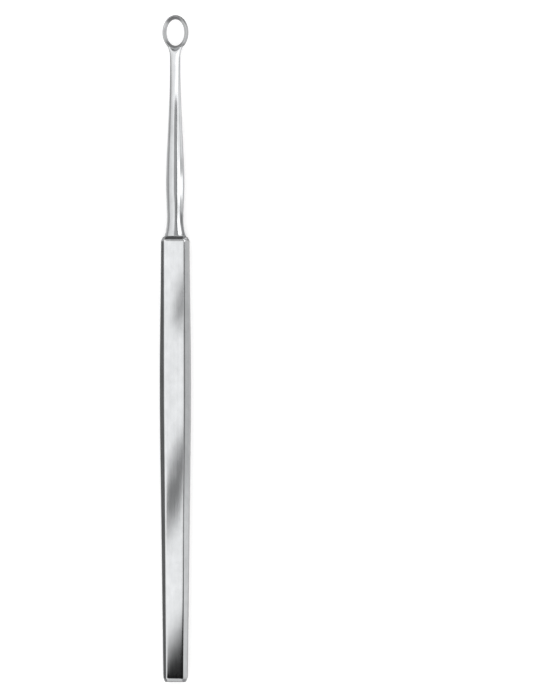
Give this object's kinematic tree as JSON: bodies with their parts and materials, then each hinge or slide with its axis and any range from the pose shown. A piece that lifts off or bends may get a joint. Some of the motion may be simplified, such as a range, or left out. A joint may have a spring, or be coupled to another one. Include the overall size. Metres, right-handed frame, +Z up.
{
  "type": "dermal curette",
  "caption": "Slim stainless steel skin curette: a flattened octagonal handle, a tapered neck and an oval ring with a cutting edge.",
  "frame": {"origin": "under the middle of the instrument, on the surface it lies on", "axes": "+Y along the instrument from the handle towards the ring, +Z up out of the handle's front flat, the side of the cutting edge, +X across the handle"},
  "size_m": [0.0066, 0.145, 0.0048],
  "materials": {
    "stainless_steel": "finely polished stainless steel, satin along the handle's flats and bright on the neck and ring"
  },
  "bodies": {
    "root": {"curette": "stainless_steel"}
  },
  "joints": []
}
